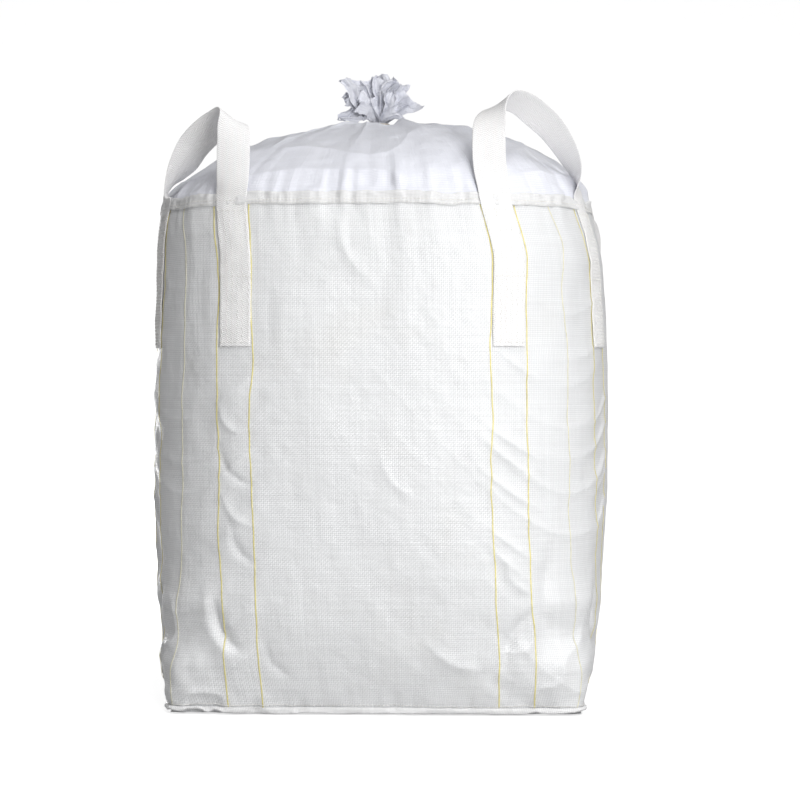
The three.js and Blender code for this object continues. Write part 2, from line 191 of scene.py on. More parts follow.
def fold_relief(p):
    out = np.zeros(len(p))
    for face, start, end, depth, width in FOLDS:
        turn = -face * math.pi / 2
        x = p[:, 0] * math.cos(turn) - p[:, 1] * math.sin(turn)
        y = p[:, 0] * math.sin(turn) + p[:, 1] * math.cos(turn)
        a, b = np.array(start), np.array(end)
        q = np.stack([x, p[:, 2]], -1) - a
        length = np.linalg.norm(b - a)
        along = q @ (b - a) / length**2
        side = (q @ np.array([-(b - a)[1], (b - a)[0]])) / length
        side = side + 0.012 * np.sin(along * 3.0)
        taper = smoothstep(along, -0.35, 0.3) * (1 - smoothstep(along, 0.7, 1.35))
        out += (y < -0.25) * 1.4 * depth * taper * np.exp(-np.abs(side / width) ** 1.4)
    return out


def settle(p):
    """The bag has sunk a little to its right, and its base is turned a little under its rim."""
    z = p[..., 2]
    turn = 0.012 * (1 - smoothstep(z, 0.0, 0.60))
    shift = 0.010 * smoothstep(RIM - z, 0.0, 0.16)
    x = p[..., 0] * np.cos(turn) - p[..., 1] * np.sin(turn) + shift
    y = p[..., 0] * np.sin(turn) + p[..., 1] * np.cos(turn)
    return np.stack([x, y, z], -1)


def body_relief(p):
    """How far the cloth stands off the plain surface: slack, puckers at the seams, and folds."""
    z = p[:, 2]
    angle = np.arctan2(p[:, 1], p[:, 0])
    corner = smoothstep(np.abs(np.sin(2 * angle)), 0.72, 1.0)
    under_rim = RIM - z
    face_across = np.minimum(np.abs(p[:, 0]), np.abs(p[:, 1]))
    band = np.exp(-((face_across - LEG_CENTRE) / 0.045) ** 2)
    loose = band * smoothstep(LEG_BOTTOM - z, -0.02, 0.06)

    out = 0.0042 * noise(p, (0.17, 0.17, 0.26), 1)
    out += 0.0022 * noise(p, (0.06, 0.06, 0.11), 2)
    out += 0.0009 * noise(p, (0.024, 0.024, 0.030), 3)
    rim_fade = np.exp(-under_rim / 0.045)
    out += 0.0042 * rim_fade * noise(p, (0.017, 0.017, 0.30), 4)
    out += 0.0040 * np.exp(-under_rim / 0.15) * noise(p, (0.038, 0.038, 0.45), 5)
    base_fade = np.exp(-z / 0.035)
    out += 0.0042 * base_fade * noise(p, (0.020, 0.020, 0.20), 6)
    out += 0.0032 * np.exp(-z / 0.11) * noise(p, (0.045, 0.045, 0.09), 7)
    low_corner = corner * np.exp(-((z - 0.10) / 0.13) ** 2)
    out += 0.0080 * low_corner * (creases(p, (0.075, 0.075, 0.10), 8) - 0.4)
    out += 0.0025 * low_corner * noise(p, (0.03, 0.03, 0.04), 9)
    skewed = p.copy()
    skewed[:, 2] = z + 1.1 * (np.abs(p[:, 0]) + np.abs(p[:, 1]))
    out += 0.0075 * loose * (creases(skewed, (0.30, 0.30, 0.055), 10) - 0.4)
    out += 0.0024 * creases(skewed, (0.6, 0.6, 0.075), 11) * (0.25 + corner)
    out += fold_relief(p)
    out += 0.007 * smoothstep(p[:, 0], 0.2, 0.5) * np.exp(-(((z - 0.60) / 0.42) ** 2))
    keep = smoothstep(z, 0.0, 0.012)
    return out * (0.25 + 0.75 * keep)


def on_body(angle, z, standoff=0.0):
    """Points on the creased cloth, or standing off it."""
    p = body_base(angle, z)
    normal = body_normal(p)
    return settle(p + normal * (body_relief(p) + standoff)[:, None]), normal


# ---- Meshes -------------------------------------------------------------------------------

def make_object(name, points, faces, material, uv=None, smooth=True):
    mesh = bpy.data.meshes.new(name)
    mesh.vertices.add(len(points))
    mesh.vertices.foreach_set("co", np.ascontiguousarray(points, np.float32).ravel())
    faces = [np.asarray(f) for f in (faces if isinstance(faces, list) else [faces])]
    loops = np.concatenate([f.ravel() for f in faces]).astype(np.int32)
    sizes = np.concatenate([np.full(len(f), f.shape[1]) for f in faces]).astype(np.int32)
    starts = np.concatenate([[0], np.cumsum(sizes)[:-1]]).astype(np.int32)
    mesh.loops.add(len(loops))
    mesh.loops.foreach_set("vertex_index", loops)
    mesh.polygons.add(len(sizes))
    mesh.polygons.foreach_set("loop_start", starts)
    mesh.polygons.foreach_set("loop_total", sizes)
    if uv is not None:
        layer = mesh.uv_layers.new(name="cloth")
        layer.data.foreach_set("uv", np.ascontiguousarray(uv[loops], np.float32).ravel())
    mesh.update(calc_edges=True)
    mesh.validate()
    if smooth:
        mesh.shade_smooth()
    obj = bpy.data.objects.new(name, mesh)
    bpy.context.scene.collection.objects.link(obj)
    obj.data.materials.append(material)
    return obj


def place_piece(obj, body, slot, *nodes):
    """Says which body a piece rides and which nodes it stands for; its slot argument is not used."""
    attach(obj, body)
    if nodes:
        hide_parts(*nodes)
    return obj


def grid_faces(rows, columns, wrap_columns=False, wrap_rows=False):
    """Quads of a grid numbered row by row."""
    r = np.arange(rows if wrap_rows else rows - 1)
    c = np.arange(columns if wrap_columns else columns - 1)
    r, c = [a.ravel() for a in np.meshgrid(r, c, indexing="ij")]
    r2, c2 = (r + 1) % rows, (c + 1) % columns
    return np.stack([r * columns + c, r * columns + c2, r2 * columns + c2, r2 * columns + c], -1)


def sweep(centres, wides, normals, profile):
    """Closed strip: the profile's (wide, normal) points carried along a path, with end caps."""
    rows, columns = len(centres), len(profile)
    points = (
        centres[:, None]
        + wides[:, None] * profile[None, :, 0:1]
        + normals[:, None] * profile[None, :, 1:2]
    ).reshape(-1, 3)
    quads = grid_faces(rows, columns, wrap_columns=True)
    ends = [np.arange(columns)[None, ::-1], (np.arange(columns) + (rows - 1) * columns)[None]]
    length = np.concatenate([[0], np.cumsum(np.linalg.norm(np.diff(centres, axis=0), axis=1))])
    uv = np.stack([np.tile(profile[:, 0], rows), np.repeat(length, columns)], -1)
    return points, [quads, *ends], uv


def join_parts(parts):
    """One mesh from several (points, faces list) parts."""
    points, faces, start = [], [], 0
    for p, f in parts:
        points.append(p)
        faces += [g + start for g in f]
        start += len(p)
    by_size = {}
    for f in faces:
        by_size.setdefault(f.shape[1], []).append(f)
    return np.concatenate(points), [np.concatenate(v) for v in by_size.values()]


def flat_profile(width, thick, across=10):
    """Outline of a strip's section with rounded edges, anticlockwise from its inner left corner."""
    r = thick / 2
    xs = np.linspace(-width / 2 + r, width / 2 - r, across)
    turn = np.radians([-45, 0, 45])
    right = np.stack([width / 2 - r + r * np.cos(turn), r * np.sin(turn)], -1)
    left = np.stack([-width / 2 + r - r * np.cos(turn), -r * np.sin(turn)], -1)
    low = np.stack([xs, np.full(across, -r)], -1)
    high = np.stack([xs[::-1], np.full(across, r)], -1)
    return np.concatenate([low, right, high, left])


# ---- Materials ----------------------------------------------------------------------------

class Nodes:
    """Short ways of making shader nodes."""

    def __init__(self, name):
        self.material = bpy.data.materials.new(name)
        self.material.use_nodes = True
        self.tree = self.material.node_tree
        self.shader = self.tree.nodes["Principled BSDF"]

    def make(self, kind, settings=None, **inputs):
        node = self.tree.nodes.new(kind)
        for key, value in (settings or {}).items():
            setattr(node, key, value)
        for key, value in inputs.items():
            self.feed(node.inputs[key.replace("_", " ")], value)
        return node

    def feed(self, socket, value):
        if isinstance(value, bpy.types.NodeSocket):
            self.tree.links.new(value, socket)
        else:
            socket.default_value = value

    def maths(self, operation, a, b=0.0, c=0.0):
        node = self.tree.nodes.new("ShaderNodeMath")
        node.operation = operation
        for socket, value in zip(node.inputs, (a, b, c)):
            self.feed(socket, value)
        return node.outputs[0]

    def mix(self, factor, a, b):
        """Colour a where factor is 0 and b where it is 1."""
        node = self.tree.nodes.new("ShaderNodeMix")
        node.data_type = "RGBA"
        self.feed(node.inputs["Factor"], factor)
        self.feed(node.inputs["A"], a)
        self.feed(node.inputs["B"], b)
        return node.outputs["Result"]

    def ramp(self, value, low, high, to_low=0.0, to_high=1.0):
        node = self.make("ShaderNodeMapRange", Value=value)
        for key, number in (("From Min", low), ("From Max", high), ("To Min", to_low), ("To Max", to_high)):
            node.inputs[key].default_value = number
        return node.outputs[0]

    def texture(self, where, scale, detail=3.0, stretch=(1, 1, 1)):
        mapping = self.make("ShaderNodeMapping", Vector=where)
        mapping.inputs["Scale"].default_value = stretch
        node = self.make("ShaderNodeTexNoise", Vector=mapping.outputs[0])
        node.inputs["Scale"].default_value = scale
        node.inputs["Detail"].default_value = detail
        return node.outputs[0]

    def bump(self, height, distance, strength=1.0, under=None):
        node = self.make("ShaderNodeBump", Height=height)
        node.inputs["Distance"].default_value = distance
        node.inputs["Strength"].default_value = strength
        if under is not None:
            self.feed(node.inputs["Normal"], under)
        return node.outputs[0]

    def uv(self):
        return self.make("ShaderNodeUVMap", {"uv_map": "cloth"}).outputs[0]

    def place(self):
        return self.make("ShaderNodeTexCoord").outputs["Object"]

    def finish(self, colour, roughness, normal, **plain):
        self.feed(self.shader.inputs["Base Color"], colour)
        self.feed(self.shader.inputs["Roughness"], roughness)
        self.feed(self.shader.inputs["Normal"], normal)
        for key, value in plain.items():
            self.shader.inputs[key.replace("_", " ")].default_value = value
        return self.material


def woven_material(name, colour, dark, tape, gloss, streak=0.5, sheen=0.15):
    """Plain weave of flat plastic tapes, warp up the cloth and weft round it."""
    n = Nodes(name)
    uv, place = n.uv(), n.place()
    split = n.make("ShaderNodeSeparateXYZ", Vector=uv)
    u = n.maths("DIVIDE", split.outputs[0], tape)
    v = n.maths("DIVIDE", split.outputs[1], tape)
    crown_u = n.maths("ABSOLUTE", n.maths("SINE", n.maths("MULTIPLY", u, math.pi)))
    crown_v = n.maths("ABSOLUTE", n.maths("SINE", n.maths("MULTIPLY", v, math.pi)))
    crown_u = n.maths("POWER", crown_u, 0.4)
    crown_v = n.maths("POWER", crown_v, 0.4)
    parity = n.maths("ADD", n.maths("FLOOR", u), n.maths("FLOOR", v))
    over = n.maths("PINGPONG", parity, 1.0)
    weave = n.maths("ADD", n.maths("MULTIPLY", crown_u, over),
                    n.maths("MULTIPLY", crown_v, n.maths("SUBTRACT", 1.0, over)))
    gaps = n.maths("MULTIPLY", crown_u, crown_v)
    warp = n.texture(uv, 1.0, 2.0, (0.5 / tape, 3.0, 1.0))
    weft = n.texture(uv, 1.0, 2.0, (3.0, 0.5 / tape, 1.0))
    streaks = n.maths("ADD", warp, weft)
    dust = n.texture(place, 5.0, 5.0)
    scuffs = n.texture(place, 40.0, 6.0)
    base = n.mix(n.ramp(gaps, 0.1, 0.8), dark, colour)
    tint = [c * 0.86 for c in colour[:3]] + [1.0]
    base = n.mix(n.maths("MULTIPLY", n.ramp(streaks, 0.8, 1.25), streak), base, tint)
    grime = [0.80 * colour[0], 0.78 * colour[1], 0.74 * colour[2], 1.0]
    base = n.mix(n.ramp(dust, 0.58, 0.82, 0.0, 0.35), base, grime)
    rough = n.ramp(scuffs, 0.35, 0.7, gloss - 0.06, gloss + 0.12)
    crumple = n.bump(n.texture(place, 55.0, 4.0), 0.0018, 0.8)
    lines = n.bump(streaks, 0.0010, 0.9, crumple)
    normal = n.bump(weave, 0.0008, 0.8, lines)
    return n.finish(base, rough, normal, Sheen_Weight=sheen, Sheen_Roughness=0.4,
                    Specular_IOR_Level=0.45)


def webbing_material(name, colour, dark):
    """Thick herringbone webbing: ribs that zigzag across the band."""
    n = Nodes(name)
    uv, place = n.uv(), n.place()
    split = n.make("ShaderNodeSeparateXYZ", Vector=uv)
    column = n.maths("DIVIDE", split.outputs[0], 0.0088)
    zigzag = n.maths("MULTIPLY", n.maths("PINGPONG", column, 1.0), 1.1)
    rib = n.maths("ADD", n.maths("DIVIDE", split.outputs[1], 0.0042), zigzag)
    ribs = n.maths("ABSOLUTE", n.maths("SINE", n.maths("MULTIPLY", rib, math.pi)))
    fibre = n.texture(uv, 1.0, 4.0, (700.0, 160.0, 1.0))
    dust = n.texture(place, 9.0, 4.0)
    base = n.mix(n.ramp(ribs, 0.0, 0.65), dark, colour)
    base = n.mix(n.ramp(fibre, 0.35, 0.75, 0.0, 0.35), base, dark)
    grime = [0.80 * colour[0], 0.78 * colour[1], 0.74 * colour[2], 1.0]
    base = n.mix(n.ramp(dust, 0.55, 0.85, 0.0, 0.3), base, grime)
    rough = n.ramp(fibre, 0.3, 0.7, 0.62, 0.82)
    fine = n.bump(fibre, 0.0004, 0.6)
    normal = n.bump(ribs, 0.0011, 0.8, fine)
    return n.finish(base, rough, normal, Sheen_Weight=0.25, Sheen_Roughness=0.5)


def thread_material(name, colour, twist=900.0, rough=0.55):
    """Twisted thread or tape: fine slanting strands."""
    n = Nodes(name)
    place = n.place()
    wave = n.make("ShaderNodeTexWave", {"wave_type": "BANDS", "bands_direction": "DIAGONAL"}, Vector=place)
    wave.inputs["Scale"].default_value = twist
    wave.inputs["Distortion"].default_value = 1.5
    fleck = n.texture(place, 120.0, 3.0)
    darker = [c * 0.72 for c in colour[:3]] + [1.0]
    base = n.mix(n.ramp(fleck, 0.4, 0.7, 0.0, 0.6), colour, darker)
    normal = n.bump(wave.outputs[1], 0.0003, 0.5)
    return n.finish(base, n.ramp(fleck, 0.3, 0.7, rough - 0.08, rough + 0.1), normal, Sheen_Weight=0.2)


CLOTH = woven_material(
    "woven_body", (0.90, 0.905, 0.915, 1), (0.60, 0.61, 0.62, 1), 0.0042, 0.34, 0.8)
SKIRT = woven_material(
    "woven_skirt", (0.91, 0.92, 0.985, 1), (0.72, 0.74, 0.82, 1), 0.0026, 0.36, 0.35, 0.25)
HEM = woven_material("woven_hem", (0.90, 0.90, 0.90, 1), (0.66, 0.66, 0.67, 1), 0.0032, 0.45, 0.3)
WEBBING = webbing_material("webbing", (0.985, 0.98, 0.98, 1), (0.78, 0.77, 0.77, 1))
YARN = thread_material("marker_yarn", (0.87, 0.77, 0.30, 1), 700.0, 0.5)
PALE_YARN = thread_material("corner_marker_yarn", (0.88, 0.85, 0.66, 1), 700.0, 0.5)
THREAD = thread_material("sewing_thread", (0.90, 0.89, 0.86, 1), 1500.0, 0.55)
CORD = thread_material("tie_cord", (0.62, 0.56, 0.47, 1), 500.0, 0.7)


# ---- The body -----------------------------------------------------------------------------

def make_body():
    columns = 760
    rows = 330
    angle = np.linspace(0, 2 * math.pi, columns, endpoint=False)
    z = 0.003 + (RIM - 0.004 - 0.003) * np.linspace(0, 1, rows)
    zz, aa = [m.ravel() for m in np.meshgrid(z, angle, indexing="ij")]
    points, _ = on_body(aa, zz)
    ring = body_base(angle, np.full(columns, 0.6))
    step = np.linalg.norm(np.roll(ring, -1, 0) - ring, axis=1)
    along = np.concatenate([[0], np.cumsum(step)])
    # The first column is repeated so that the weave runs on without a jump at the join.
    grid = points.reshape(rows, columns, 3)
    grid = np.concatenate([grid, grid[:, :1]], 1)
    uv = np.stack(np.meshgrid(along, z, indexing="xy"), -1).reshape(-1, 2)
    obj = make_object("body_cloth", grid.reshape(-1, 3), grid_faces(rows, columns + 1), CLOTH, uv)
    weld(obj)
    return place_piece(obj, "bag", "body_cloth", "body_tube", "bulk_contents")


def weld(obj):
    """Joins vertices that coincide, so that a wrapped grid shades without a line at its join."""
    import bmesh
    bm = bmesh.new()
    bm.from_mesh(obj.data)
    bmesh.ops.remove_doubles(bm, verts=bm.verts, dist=1e-6)
    bm.to_mesh(obj.data)
    bm.free()


def pulled(face, side, z):
    """How far a leg or yarn is off its line: the right front leg is drawn in at the top, and the
    cloth has slipped round the bag a little at the foot."""
    share = np.clip((z - 0.985) / (RIM - 0.985), 0, 1)
    drift = 0.012 * (1 - smoothstep(z, 0.0, 0.60))
    return drift - 0.024 * share**1.25 if face == 0 and side > 0 else drift


def face_strip(face, across, low, high, steps, standoff, wander=0.0, seed=0):
    """Path down a face with its width and normal directions, from low to high."""
    z = np.linspace(low, high, steps)
    probe = np.stack([np.full(steps, face + 0.37 * seed), np.full(steps, seed * 3.1), z], -1)
    x = across(z) + wander * noise(probe, (1, 1, 0.13), 20 + seed)
    x = x + 0.4 * wander * noise(probe, (1, 1, 0.04), 21)
    angle = face_angle(x, z, face)
    centres, normals = on_body(angle, z, standoff)
    tangents = unit(np.gradient(centres, axis=0))
    wides = unit(np.cross(tangents, normals))
    return centres, -wides, np.cross(tangents, -wides) * -1


def make_yarn(node, face, across, seed, material, wander):
    centres, wides, normals = face_strip(
        face, across, 0.010, RIM - 0.020, 260, 0.0007, wander, seed)
    points, faces, uv = sweep(centres, wides, normals, flat_profile(0.0027, 0.0007, 3))
    obj = make_object(node + "_tape", points, faces, material, uv)
    return place_piece(obj, "bag", "marker_yarn", node)


def corner_across(z):
    half, n = cubic(z, BODY_SECTIONS, 1), cubic(z, BODY_SECTIONS, 2)
    return half * 2 ** (-1 / n) * 0.9985 - 0.012 * smoothstep(z, 1.0, RIM)


FACES = ("front", "right", "rear", "left")


def make_yarns():
    seed = 1
    for face, name in enumerate(FACES):
        for side, half in ((-1, "a"), (1, "b")):
            for edge in (-1, 1):
                label = "inner" if edge * side < 0 else "outer"
                def across(z, face=face, side=side, edge=edge):
                    return side * LEG_CENTRE + edge * YARN_OFFSET + pulled(face, side, z)

                make_yarn(f"marker_yarn_{name}_{half}_{label}", face, across, seed, YARN, 0.0042)
                seed += 1
        make_yarn(f"corner_yarn_{name}", face, corner_across, seed, PALE_YARN, 0.006)
        seed += 1


def make_hem():
    """The body's top edge, folded over and puckered by its stitching."""
    columns = 1100
    angle = np.linspace(0, 2 * math.pi, columns, endpoint=False)
    profile = [(-0.0235, 0.0006), (-0.0230, 0.0024), (-0.016, 0.0030), (-0.0125, 0.0022), (-0.008, 0.0032),
               (-0.0045, 0.0036), (-0.0010, 0.0042), (0.0030, 0.0034), (0.0042, 0.0016), (0.0030, -0.0006),
               (-0.006, -0.0008)]
    rows = []
    low = body_base(angle, np.full(columns, RIM))
    wave = 0.0042 * noise(low, (0.06, 0.06, 1), 31) + 0.0022 * noise(low, (0.018, 0.018, 1), 32)
    for k, (dz, off) in enumerate(profile):
        pucker = 0.0020 * noise(low + [0, 0, 0.01 * k], (0.011, 0.011, 0.05), 33)
        pucker += 0.0014 * creases(low + [0, 0, 0.02 * k], (0.03, 0.03, 0.03), 34)
        z = np.minimum(RIM + dz + wave * (1 if dz > -0.02 else 0.6), RIM + 0.008)
        p = body_base(angle, np.minimum(z, RIM))
        p[:, 2] = z
        normal = body_normal(p)
        body = body_relief(p)
        rows.append(settle(p + normal * (body + off + pucker * (0.3 + 0.7 * (off > 0)))[:, None]))
    points = np.concatenate(rows)
    faces = grid_faces(len(profile), columns, wrap_columns=True, wrap_rows=True)
    s = np.arange(columns) * FLAT_PERIMETER / columns
    uv = np.stack([np.tile(s, len(profile)), np.repeat([q[0] for q in profile], columns)], -1)
    obj = make_object("rim_hem_fold", points, faces, HEM, uv)
    return place_piece(obj, "bag", "seam_cloth", "rim_hem")


def make_base_fin():
    """The bottom seam's two edges, turned out and pressed down on the floor."""
    columns = 960
    angle = np.linspace(0, 2 * math.pi, columns, endpoint=False)
    low = body_base(angle, np.full(columns, 0.004))
    corner = smoothstep(np.abs(np.sin(2 * angle)), 0.93, 1.0)
    reach = 0.0075 + 0.0030 * noise(low, (0.05, 0.05, 1), 41) + 0.0012 * noise(low, (0.015, 0.015, 1), 42)
    reach = reach + 0.003 * corner
    lift = 0.0016 * (1 + noise(low, (0.07, 0.07, 1), 43))
    lift = lift + 0.007 * corner * (1 + noise(low, (0.02, 0.02, 1), 44))
    profile = [(0.0, 0.017), (0.30, 0.0150), (0.65, 0.0105), (1.0, 0.0050), (1.03, 0.0030), (0.95, 0.0016),
               (0.55, 0.0048), (0.15, 0.0090), (-0.10, 0.0110)]
    rows = []
    for share, height in profile:
        z = height + lift * share
        p = body_base(angle, np.clip(z, 0.003, None))
        normal = body_normal(p)
        normal[:, 2] = 0
        fine = 0.0009 * noise(low + [0, 0, height * 3], (0.012, 0.012, 0.02), 45)
        rows.append(p + unit(normal) * (body_relief(p) + 0.0012 + share * reach + fine)[:, None])
        rows[-1][:, 2] = np.maximum(z + fine * 0.5, 0.0008)
        rows[-1] = settle(rows[-1])
    points = np.concatenate(rows)
    faces = grid_faces(len(profile), columns, wrap_columns=True, wrap_rows=True)[:, ::-1]
    s = np.arange(columns) * FLAT_PERIMETER / columns
    uv = np.stack([np.tile(s, len(profile)), np.repeat([q[1] for q in profile], columns)], -1)
    obj = make_object("base_seam_fin", points, faces, HEM, uv)
    return place_piece(obj, "bag", "seam_cloth", "base_seam")


def make_base():
    """The square base, slightly dished between its seams."""
    steps = 60
    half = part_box("base_panel")[1][0] + 0.006
    xs = np.linspace(-half, half, steps)
    x, y = [m.ravel() for m in np.meshgrid(xs, xs, indexing="xy")]
    p = np.stack([x, y, np.zeros(len(x))], -1)
    edge = smoothstep(np.maximum(np.abs(x), np.abs(y)), half - 0.05, half)
    p[:, 2] = 0.0016 + 0.0006 * noise(p, (0.08, 0.08, 1), 51) + 0.0022 * edge
    faces = grid_faces(steps, steps)[:, ::-1]
    obj = make_object("base_cloth", settle(p), faces, CLOTH, p[:, :2].copy())
    return place_piece(obj, "bag", "base_cloth", "base_panel")


# ---- Stitches -----------------------------------------------------------------------------

def stitch_mesh(starts, ends, outs, radius, sag=0.0006, sides=5):
    """Each stitch is a short tapered thread lying from start to end, arched a little outwards."""
    count = len(starts)
    ts = np.array([0.0, 0.18, 0.5, 0.82, 1.0])
    swell = np.array([0.45, 1.0, 1.08, 1.0, 0.45])
    rise = np.array([-0.6, 0.5, 1.0, 0.5, -0.6])
    along = unit(ends - starts)
    side = unit(np.cross(along, outs))
    out = np.cross(side, along)
    turn = np.linspace(0, 2 * math.pi, sides, endpoint=False)
    centres = starts[:, None] + (ends - starts)[:, None] * ts[None, :, None]
    centres = centres + outs[:, None] * (rise * sag)[None, :, None]
    ring = side[:, None] * np.cos(turn)[None, :, None] + out[:, None] * np.sin(turn)[None, :, None]
    points = centres[:, :, None] + ring[:, None] * (radius * swell)[None, :, None, None]
    per = len(ts) * sides
    quads = grid_faces(len(ts), sides, wrap_columns=True)
    caps = np.stack([np.arange(sides)[::-1], np.arange(sides) + per - sides])
    offset = (np.arange(count) * per)[:, None, None]
    quads, caps = (quads[None] + offset).reshape(-1, 4), (caps[None] + offset).reshape(-1, sides)
    return points.reshape(-1, 3), [quads, caps]


def ring_stitches(z, standoff, pitch, length, radius, slant=0.0, seed=61):
    """A row of stitches right round the bag at one height."""
    count = int(FLAT_PERIMETER / pitch)
    fine = np.linspace(0, 2 * math.pi, 4000, endpoint=False)
    ring = body_base(fine, np.full(4000, z))
    walk = np.concatenate([[0], np.cumsum(np.linalg.norm(np.diff(ring, axis=0), axis=1))])
    place = np.interp(np.linspace(0, walk[-1], count, endpoint=False), walk, fine)
    reach = np.interp(walk[-1] / count * length, walk, fine)
    base = body_base(place, np.full(count, z))
    zs = z + 0.0009 * noise(base, (0.02, 0.02, 1), seed) + 0.0022 * noise(base, (0.06, 0.06, 1), 31)
    a, normal = on_body(place, np.minimum(zs - slant, RIM), standoff)
    b, _ = on_body(place + reach, np.minimum(zs + slant, RIM), standoff)
    return stitch_mesh(a, b, normal, radius)


def make_seam_stitches():
    rows = [
        ring_stitches(RIM - 0.0130, 0.0040, 0.0090, 0.80, 0.00075, 0.0, 61),
        ring_stitches(RIM - 0.0195, 0.0036, 0.0090, 0.80, 0.00060, 0.0012, 62),
    ]
    points, faces = join_parts(rows)
    obj = make_object("rim_stitching", points, faces, THREAD)
    place_piece(obj, "bag", "seam_cloth")
    points, faces = ring_stitches(0.0215, 0.0014, 0.0085, 0.78, 0.0007, 0.0, 63)
    obj = make_object("base_stitching", points, faces, THREAD)
    place_piece(obj, "bag", "seam_cloth")


# ---- Lifting webbing ----------------------------------------------------------------------

# A standing loop: places on the band's middle line from its front leg to its side leg, each with
# the way from there to the band's corner-side edge.
STANDING = {
    "front_left": [
        (-0.293, -0.463, 1.132, -0.96, 0.28, 0),
        (-0.291, -0.463, 1.174, -1, 0.05, 0),
        (-0.290, -0.461, 1.217, -1, -0.05, 0.05),
        (-0.290, -0.455, 1.258, -0.95, -0.2, 0.2),
        (-0.297, -0.441, 1.291, -0.68, -0.55, 0.5),
        (-0.326, -0.408, 1.285, -0.68, -0.55, 0.5),
        (-0.360, -0.390, 1.261, -0.62, -0.45, 0.66),
        (-0.388, -0.370, 1.236, -0.66, -0.5, 0.56),
        (-0.412, -0.348, 1.202, -0.56, -0.72, 0.4),
        (-0.436, -0.322, 1.168, -0.22, -0.95, 0.12),
        (-0.459, -0.297, 1.136, 0.3, -0.95, 0),
    ],
    "front_right": [
        (0.270, -0.471, 1.132, 0.96, 0.28, 0),
        (0.262, -0.469, 1.181, 1, 0.05, 0),
        (0.260, -0.465, 1.237, 1, -0.05, 0.05),
        (0.262, -0.456, 1.279, 0.95, -0.2, 0.25),
        (0.274, -0.441, 1.309, 0.78, -0.5, 0.35),
        (0.298, -0.421, 1.327, 0.62, -0.62, 0.5),
        (0.332, -0.393, 1.323, 0.62, -0.62, 0.5),
        (0.363, -0.369, 1.303, 0.6, -0.55, 0.58),
        (0.397, -0.346, 1.273, 0.56, -0.62, 0.54),
        (0.427, -0.324, 1.229, 0.48, -0.76, 0.42),
        (0.447, -0.307, 1.186, 0.32, -0.91, 0.24),
        (0.461, -0.296, 1.135, -0.3, -0.95, 0),
    ],
}
# A hanging loop: how far it reaches from its roots' line, its lean at the roots and low down in
# degrees, and how far from the roots it has turned down.
HANGING = {
    "rear_right": (0.232, 92, 172, 0.068),
    "rear_left": (0.232, 91, 174, 0.070),
}
# Each loop: which way its corner faces in degrees, and the face and side of its two legs in the
# order in which its band runs.
LOOPS = {
    "front_left": (225, (0, -1), (3, 1)),
    "front_right": (-45, (0, 1), (1, -1)),
    "rear_right": (45, (2, -1), (1, 1)),
    "rear_left": (135, (3, -1), (2, 1)),
}
CROWN_HALF = 0.022
LEG_STANDOFF = 0.0030
root_depth = (0.4977**3 - LEG_CENTRE**3) ** (1 / 3)
HALF_SPAN = (root_depth - LEG_CENTRE) / math.sqrt(2)
HINGE_OUT = (root_depth + LEG_CENTRE) / math.sqrt(2)


def through(table, per_row=10):
    """Smooth curve through the rows of a table."""
    table = np.asarray(table, float)
    gaps = np.linalg.norm(np.diff(table[:, :3], axis=0), axis=1)
    walk = np.concatenate([[0], np.cumsum(gaps)])
    at = np.concatenate([
        np.linspace(walk[k], walk[k + 1], per_row, endpoint=False) for k in range(len(walk) - 1)
    ] + [walk[-1:]])
    columns = [cubic(at, np.stack([walk, table[:, k]], -1), 1) for k in range(table.shape[1])]
    return np.stack(columns, -1)


def hanging_path(name, turn, steps=70):
    """Middle line and edge way of a band that has flopped over its corner."""
    reach, lean_root, lean_low, bend = HANGING[name]
    outward = np.array([math.cos(turn), math.sin(turn), 0.0])
    upward = np.array([0.0, 0.0, 1.0])
    along = np.cross(upward, outward)
    first = math.asin(0.012 / reach)
    psi = np.linspace(first, math.pi - first, steps)
    shift = CROWN_HALF * np.clip(np.cos(psi) / 0.22, -1, 1)
    fine = np.linspace(0, reach, 300)
    tips = np.radians(lean_low + (lean_root - lean_low) * np.exp(-((fine / bend) ** 2)))
    outs = np.concatenate([[0], np.cumsum(np.sin(tips))[:-1]]) * fine[1]
    ups = np.concatenate([[0], np.cumsum(np.cos(tips))[:-1]]) * fine[1]
    distance = reach * np.sin(psi)
    out, up, tip = [np.interp(distance, fine, v)[:, None] for v in (outs, ups, tips)]
    span = ((HALF_SPAN - CROWN_HALF) * np.cos(psi) + shift)[:, None]
    centres = along * span + outward * (HINGE_OUT + out) + upward * (RIM + up)
    rise = upward * np.cos(tip) + outward * np.sin(tip)
    sideways = outward * np.cos(tip) - upward * np.sin(tip)
    cos, sin = np.cos(psi)[:, None], np.sin(psi)[:, None]
    radial = rise * sin + along * cos
    twist = (math.pi / 4) * np.abs(cos) ** 1.5
    return centres, sideways * np.cos(twist) - radial * np.sin(twist)


def leg_rows(face, side, offsets, steps=110):
    """Middle line of a sewn leg from its foot up, and its section at each row, laid on the cloth."""
    z = np.linspace(LEG_BOTTOM, RIM - 0.003, steps)
    probe = np.stack([np.full(steps, 3.0 * face + side), np.zeros(steps), z], -1)
    middle = side * LEG_CENTRE + pulled(face, side, z) + 0.003 * noise(probe, (1, 1, 0.14), 71)
    section = []
    for w in offsets:
        x = middle + side * w * 0.94
        section.append(on_body(face_angle(x, z, face), z, LEG_STANDOFF)[0])
    section = np.stack(section, 1)
    centres, _ = on_body(face_angle(middle, z, face), z, LEG_STANDOFF)
    return centres, section


def soften(values, width):
    """Running average along a path, with the ends held."""
    span = int(width)
    kernel = np.hanning(2 * span + 3)[1:-1]
    kernel /= kernel.sum()
    padded = np.concatenate([np.repeat(values[:1], span, 0), values, np.repeat(values[-1:], span, 0)])
    return np.stack([np.convolve(padded[:, k], kernel, "valid") for k in range(values.shape[1])], -1)


